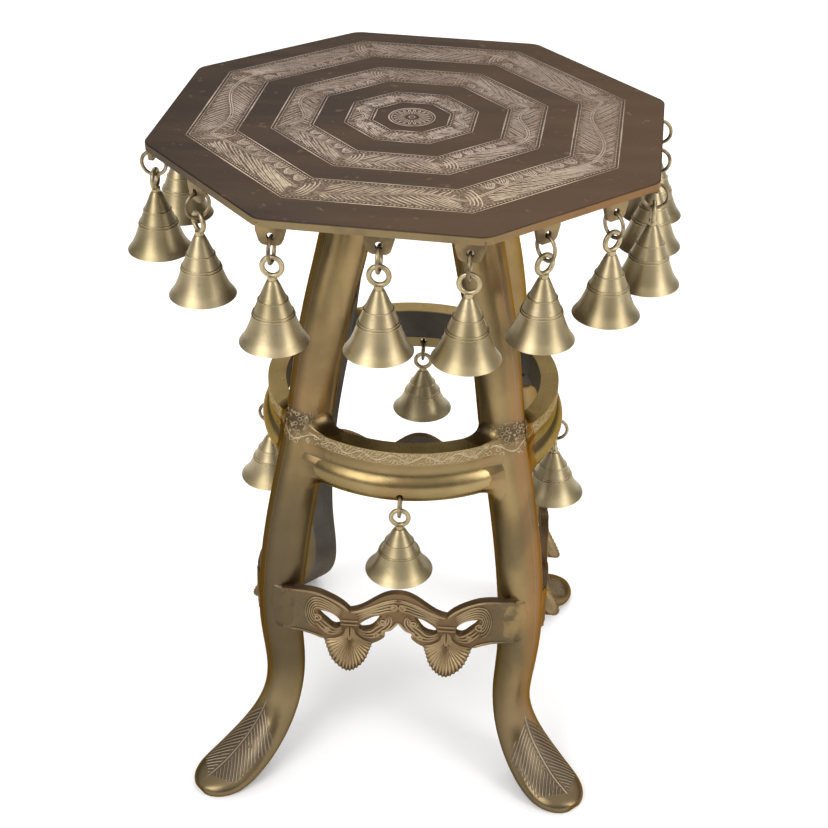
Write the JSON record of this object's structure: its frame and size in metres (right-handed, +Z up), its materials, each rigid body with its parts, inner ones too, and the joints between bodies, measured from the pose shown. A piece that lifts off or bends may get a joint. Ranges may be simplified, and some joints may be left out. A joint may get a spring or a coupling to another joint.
{
  "type": "stool",
  "caption": "Octagonal brass stool on curved legs tied by a hoop and pierced aprons, with small bells hanging round the top and the hoop.",
  "frame": {"origin": "on the floor, under the middle of the octagonal top", "axes": "+Z up, front apron towards -Y, +X to its right"},
  "size_m": [0.3485, 0.3467, 0.455],
  "materials": {
    "top_brass": "dark patina, engraved",
    "lug_brass": "cast, toned",
    "leg_brass": "polished, toned",
    "hoop_brass": "polished",
    "apron_brass": "cast relief, toned",
    "link_brass": "drawn wire",
    "bell_brass": "turned, satin",
    "screw_brass": "dull"
  },
  "bodies": {
    "stand": {"top_plate": "top_brass", "top_lugs": "lug_brass", "top_screws": "screw_brass", "leg_front_right": "leg_brass", "leg_back_right": "leg_brass", "leg_back_left": "leg_brass", "leg_front_left": "leg_brass", "rail_front": "hoop_brass", "rail_right": "hoop_brass", "rail_back": "hoop_brass", "rail_left": "hoop_brass", "apron_front": "apron_brass", "apron_right": "apron_brass", "apron_back": "apron_brass", "apron_left": "apron_brass"},
    "top_link_01": {"top_link_01": "link_brass"},
    "top_bell_01": {"top_bell_01": "bell_brass"},
    "top_link_02": {"top_link_02": "link_brass"},
    "top_bell_02": {"top_bell_02": "bell_brass"},
    "top_link_03": {"top_link_03": "link_brass"},
    "top_bell_03": {"top_bell_03": "bell_brass"},
    "top_link_04": {"top_link_04": "link_brass"},
    "top_bell_04": {"top_bell_04": "bell_brass"},
    "top_link_05": {"top_link_05": "link_brass"},
    "top_bell_05": {"top_bell_05": "bell_brass"},
    "top_link_06": {"top_link_06": "link_brass"},
    "top_bell_06": {"top_bell_06": "bell_brass"},
    "top_link_07": {"top_link_07": "link_brass"},
    "top_bell_07": {"top_bell_07": "bell_brass"},
    "top_link_08": {"top_link_08": "link_brass"},
    "top_bell_08": {"top_bell_08": "bell_brass"},
    "top_link_09": {"top_link_09": "link_brass"},
    "top_bell_09": {"top_bell_09": "bell_brass"},
    "top_link_10": {"top_link_10": "link_brass"},
    "top_bell_10": {"top_bell_10": "bell_brass"},
    "top_link_11": {"top_link_11": "link_brass"},
    "top_bell_11": {"top_bell_11": "bell_brass"},
    "top_link_12": {"top_link_12": "link_brass"},
    "top_bell_12": {"top_bell_12": "bell_brass"},
    "top_link_13": {"top_link_13": "link_brass"},
    "top_bell_13": {"top_bell_13": "bell_brass"},
    "top_link_14": {"top_link_14": "link_brass"},
    "top_bell_14": {"top_bell_14": "bell_brass"},
    "top_link_15": {"top_link_15": "link_brass"},
    "top_bell_15": {"top_bell_15": "bell_brass"},
    "top_link_16": {"top_link_16": "link_brass"},
    "top_bell_16": {"top_bell_16": "bell_brass"},
    "top_link_17": {"top_link_17": "link_brass"},
    "top_bell_17": {"top_bell_17": "bell_brass"},
    "top_link_18": {"top_link_18": "link_brass"},
    "top_bell_18": {"top_bell_18": "bell_brass"},
    "ring_link_front": {"ring_link_front": "link_brass"},
    "ring_bell_front": {"ring_bell_front": "bell_brass"},
    "ring_link_right": {"ring_link_right": "link_brass"},
    "ring_bell_right": {"ring_bell_right": "bell_brass"},
    "ring_link_back": {"ring_link_back": "link_brass"},
    "ring_bell_back": {"ring_bell_back": "bell_brass"},
    "ring_link_left": {"ring_link_left": "link_brass"},
    "ring_bell_left": {"ring_bell_left": "bell_brass"}
  },
  "joints": [
    {"name": "top_link_01_sway", "type": "hinge", "parent": "stand", "child": "top_link_01", "pos_m": [-0.06546, -0.14654, 0.4438], "axis": [-0.0698, -0.9976, 0], "range_deg": [-15, 15]},
    {"name": "top_bell_01_swing", "type": "hinge", "parent": "top_link_01", "child": "top_bell_01", "pos_m": [-0.06546, -0.14654, 0.4315], "axis": [-0.9976, 0.0698, 0], "range_deg": [-25, 45]},
    {"name": "top_link_02_sway", "type": "hinge", "parent": "stand", "child": "top_link_02", "pos_m": [-0.00598, -0.1507, 0.4438], "axis": [-0.0698, -0.9976, 0], "range_deg": [-15, 10]},
    {"name": "top_bell_02_swing", "type": "hinge", "parent": "top_link_02", "child": "top_bell_02", "pos_m": [-0.00598, -0.1507, 0.4315], "axis": [-0.9976, 0.0698, 0], "range_deg": [-25, 45]},
    {"name": "top_link_03_sway", "type": "hinge", "parent": "stand", "child": "top_link_03", "pos_m": [0.04342, -0.15415, 0.4438], "axis": [-0.0698, -0.9976, 0], "range_deg": [-10, 12.5]},
    {"name": "top_bell_03_swing", "type": "hinge", "parent": "top_link_03", "child": "top_bell_03", "pos_m": [0.04342, -0.15415, 0.4315], "axis": [-0.9976, 0.0698, 0], "range_deg": [-13, 45]},
    {"name": "top_link_04_sway", "type": "hinge", "parent": "stand", "child": "top_link_04", "pos_m": [0.08403, -0.1267, 0.4438], "axis": [0.6561, -0.7547, 0], "range_deg": [-10, 11]},
    {"name": "top_bell_04_swing", "type": "hinge", "parent": "top_link_04", "child": "top_bell_04", "pos_m": [0.08403, -0.1267, 0.4315], "axis": [-0.7547, -0.6561, 0], "range_deg": [-14, 45]},
    {"name": "top_link_05_sway", "type": "hinge", "parent": "stand", "child": "top_link_05", "pos_m": [0.12217, -0.09355, 0.4438], "axis": [0.6561, -0.7547, 0], "range_deg": [-11, 10.5]},
    {"name": "top_bell_05_swing", "type": "hinge", "parent": "top_link_05", "child": "top_bell_05", "pos_m": [0.12217, -0.09355, 0.4315], "axis": [-0.7547, -0.6561, 0], "range_deg": [-22, 45]},
    {"name": "top_link_06_sway", "type": "hinge", "parent": "stand", "child": "top_link_06", "pos_m": [0.14753, -0.05135, 0.4438], "axis": [0.9976, -0.0698, 0], "range_deg": [-11.5, 12]},
    {"name": "top_bell_06_swing", "type": "hinge", "parent": "top_link_06", "child": "top_bell_06", "pos_m": [0.14753, -0.05135, 0.4315], "axis": [-0.0698, -0.9976, 0], "range_deg": [-22, 45]},
    {"name": "top_link_07_sway", "type": "hinge", "parent": "stand", "child": "top_link_07", "pos_m": [0.15112, 0.00007, 0.4438], "axis": [0.9976, -0.0698, 0], "range_deg": [-12, 5.5]},
    {"name": "top_bell_07_swing", "type": "hinge", "parent": "top_link_07", "child": "top_bell_07", "pos_m": [0.15112, 0.00007, 0.4315], "axis": [-0.0698, -0.9976, 0], "range_deg": [-25, 45]},
    {"name": "top_link_08_sway", "type": "hinge", "parent": "stand", "child": "top_link_08", "pos_m": [0.15437, 0.04645, 0.4438], "axis": [0.9976, -0.0698, 0], "range_deg": [-5.5, 15]},
    {"name": "top_bell_08_swing", "type": "hinge", "parent": "top_link_08", "child": "top_bell_08", "pos_m": [0.15437, 0.04645, 0.4315], "axis": [-0.0698, -0.9976, 0], "range_deg": [-8, 45]},
    {"name": "top_link_09_sway", "type": "hinge", "parent": "stand", "child": "top_link_09", "pos_m": [0.12272, 0.0886, 0.4438], "axis": [0.7547, 0.6561, 0], "range_deg": [-14.5, 15]},
    {"name": "top_bell_09_swing", "type": "hinge", "parent": "top_link_09", "child": "top_bell_09", "pos_m": [0.12272, 0.0886, 0.4315], "axis": [0.6561, -0.7547, 0], "range_deg": [-9, 45]},
    {"name": "top_link_10_sway", "type": "hinge", "parent": "stand", "child": "top_link_10", "pos_m": [0.08626, 0.13056, 0.4438], "axis": [0.7547, 0.6561, 0], "range_deg": [-15, 12.5]},
    {"name": "top_bell_10_swing", "type": "hinge", "parent": "top_link_10", "child": "top_bell_10", "pos_m": [0.08626, 0.13056, 0.4315], "axis": [0.6561, -0.7547, 0], "range_deg": [-25, 45]},
    {"name": "top_link_11_sway", "type": "hinge", "parent": "stand", "child": "top_link_11", "pos_m": [0.03925, 0.14837, 0.4438], "axis": [0.0698, 0.9976, 0], "range_deg": [-11.5, 15]},
    {"name": "top_bell_11_swing", "type": "hinge", "parent": "top_link_11", "child": "top_bell_11", "pos_m": [0.03925, 0.14837, 0.4315], "axis": [0.9976, -0.0698, 0], "range_deg": [-25, 45]},
    {"name": "top_link_12_sway", "type": "hinge", "parent": "stand", "child": "top_link_12", "pos_m": [-0.0162, 0.15225, 0.4438], "axis": [0.0698, 0.9976, 0], "range_deg": [-15, 7]},
    {"name": "top_bell_12_swing", "type": "hinge", "parent": "top_link_12", "child": "top_bell_12", "pos_m": [-0.0162, 0.15225, 0.4315], "axis": [0.9976, -0.0698, 0], "range_deg": [-25, 45]},
    {"name": "top_link_13_sway", "type": "hinge", "parent": "stand", "child": "top_link_13", "pos_m": [-0.06343, 0.14461, 0.4438], "axis": [-0.6561, 0.7547, 0], "range_deg": [-8.5, 15]},
    {"name": "top_bell_13_swing", "type": "hinge", "parent": "top_link_13", "child": "top_bell_13", "pos_m": [-0.06343, 0.14461, 0.4315], "axis": [0.7547, 0.6561, 0], "range_deg": [-25, 45]},
    {"name": "top_link_14_sway", "type": "hinge", "parent": "stand", "child": "top_link_14", "pos_m": [-0.10615, 0.10747, 0.4438], "axis": [-0.6561, 0.7547, 0], "range_deg": [-15, 15]},
    {"name": "top_bell_14_swing", "type": "hinge", "parent": "top_link_14", "child": "top_bell_14", "pos_m": [-0.10615, 0.10747, 0.4315], "axis": [0.7547, 0.6561, 0], "range_deg": [-25, 45]},
    {"name": "top_link_15_sway", "type": "hinge", "parent": "stand", "child": "top_link_15", "pos_m": [-0.14689, 0.06042, 0.4438], "axis": [-0.9976, 0.0698, 0], "range_deg": [-15, 10]},
    {"name": "top_bell_15_swing", "type": "hinge", "parent": "top_link_15", "child": "top_bell_15", "pos_m": [-0.14689, 0.06042, 0.4315], "axis": [0.0698, 0.9976, 0], "range_deg": [-25, 45]},
    {"name": "top_link_16_sway", "type": "hinge", "parent": "stand", "child": "top_link_16", "pos_m": [-0.15035, 0.01102, 0.4438], "axis": [-0.9976, 0.0698, 0], "range_deg": [-10, 12]},
    {"name": "top_bell_16_swing", "type": "hinge", "parent": "top_link_16", "child": "top_bell_16", "pos_m": [-0.15035, 0.01102, 0.4315], "axis": [0.0698, 0.9976, 0], "range_deg": [-25, 45]},
    {"name": "top_link_17_sway", "type": "hinge", "parent": "stand", "child": "top_link_17", "pos_m": [-0.15394, -0.0404, 0.4438], "axis": [-0.9976, 0.0698, 0], "range_deg": [-12, 15]},
    {"name": "top_bell_17_swing", "type": "hinge", "parent": "top_link_17", "child": "top_bell_17", "pos_m": [-0.15394, -0.0404, 0.4315], "axis": [0.0698, 0.9976, 0], "range_deg": [-25, 45]},
    {"name": "top_link_18_sway", "type": "hinge", "parent": "stand", "child": "top_link_18", "pos_m": [-0.11609, -0.09623, 0.4438], "axis": [-0.7547, -0.6561, 0], "range_deg": [-15, 15]},
    {"name": "top_bell_18_swing", "type": "hinge", "parent": "top_link_18", "child": "top_bell_18", "pos_m": [-0.11609, -0.09623, 0.4315], "axis": [-0.6561, 0.7547, 0], "range_deg": [-25, 45]},
    {"name": "ring_link_front_sway", "type": "hinge", "parent": "stand", "child": "ring_link_front", "pos_m": [0.0034, -0.0995, 0.24311], "axis": [0, -1, 0], "range_deg": [-20, 20]},
    {"name": "ring_bell_front_swing", "type": "hinge", "parent": "ring_link_front", "child": "ring_bell_front", "pos_m": [0.0034, -0.0995, 0.23081], "axis": [-1, 0, 0], "range_deg": [-30, 45]},
    {"name": "ring_link_right_sway", "type": "hinge", "parent": "stand", "child": "ring_link_right", "pos_m": [0.1021, -0.0008, 0.24311], "axis": [1, 0, 0], "range_deg": [-20, 20]},
    {"name": "ring_bell_right_swing", "type": "hinge", "parent": "ring_link_right", "child": "ring_bell_right", "pos_m": [0.1021, -0.0008, 0.23081], "axis": [0, -1, 0], "range_deg": [-30, 45]},
    {"name": "ring_link_back_sway", "type": "hinge", "parent": "stand", "child": "ring_link_back", "pos_m": [0.0034, 0.0979, 0.24311], "axis": [0, 1, 0], "range_deg": [-20, 20]},
    {"name": "ring_bell_back_swing", "type": "hinge", "parent": "ring_link_back", "child": "ring_bell_back", "pos_m": [0.0034, 0.0979, 0.23081], "axis": [1, 0, 0], "range_deg": [-30, 45]},
    {"name": "ring_link_left_sway", "type": "hinge", "parent": "stand", "child": "ring_link_left", "pos_m": [-0.0953, -0.0008, 0.24311], "axis": [-1, 0, 0], "range_deg": [-20, 20]},
    {"name": "ring_bell_left_swing", "type": "hinge", "parent": "ring_link_left", "child": "ring_bell_left", "pos_m": [-0.0953, -0.0008, 0.23081], "axis": [0, 1, 0], "range_deg": [-30, 45]}
  ]
}
